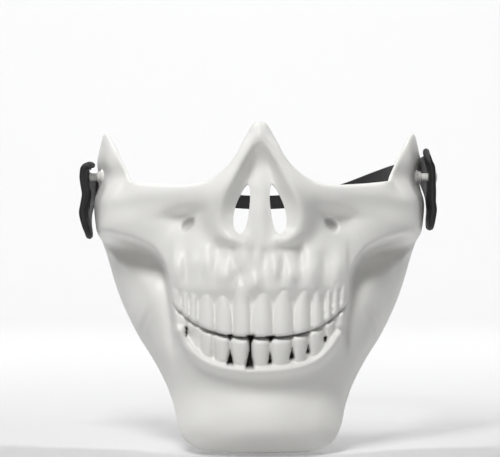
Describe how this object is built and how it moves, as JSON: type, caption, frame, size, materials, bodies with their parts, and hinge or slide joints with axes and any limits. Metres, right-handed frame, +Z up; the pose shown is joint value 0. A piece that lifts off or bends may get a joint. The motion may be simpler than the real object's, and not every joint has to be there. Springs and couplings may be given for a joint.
{
  "type": "skull half-face mask",
  "caption": "Moulded half-face mask in the shape of a skull's lower face, with an elastic head strap buttoned on side studs.",
  "frame": {"origin": "midway between the two strap studs, on their common axis, where the mask sits on the wearer's head", "axes": "+Z up the face, -Y the way the face looks, +X to the wearer's left"},
  "size_m": [0.187, 0.2065, 0.1635],
  "materials": {
    "shell_plastic": "semi-matt moulded off-white plastic",
    "stud_plastic": "satin off-white plastic",
    "washer_plastic": "satin off-white plastic",
    "tab_leatherette": "matt black soft leatherette over foam",
    "thread": "black sewing thread",
    "elastic": "black woven elastic"
  },
  "bodies": {
    "shell": {"mask_shell": "shell_plastic", "left_stud": "stud_plastic", "right_stud": "stud_plastic", "left_stud_washer": "washer_plastic", "right_stud_washer": "washer_plastic"},
    "strap": {"left_strap_tab": "tab_leatherette", "right_strap_tab": "tab_leatherette", "left_strap_stitching": "thread", "right_strap_stitching": "thread", "strap_band": "elastic"}
  },
  "joints": [
    {"name": "strap_swing", "type": "hinge", "parent": "shell", "child": "strap", "pos_m": [0, 0, 0], "axis": [1, 0, 0], "range_deg": [-60, 80]}
  ]
}
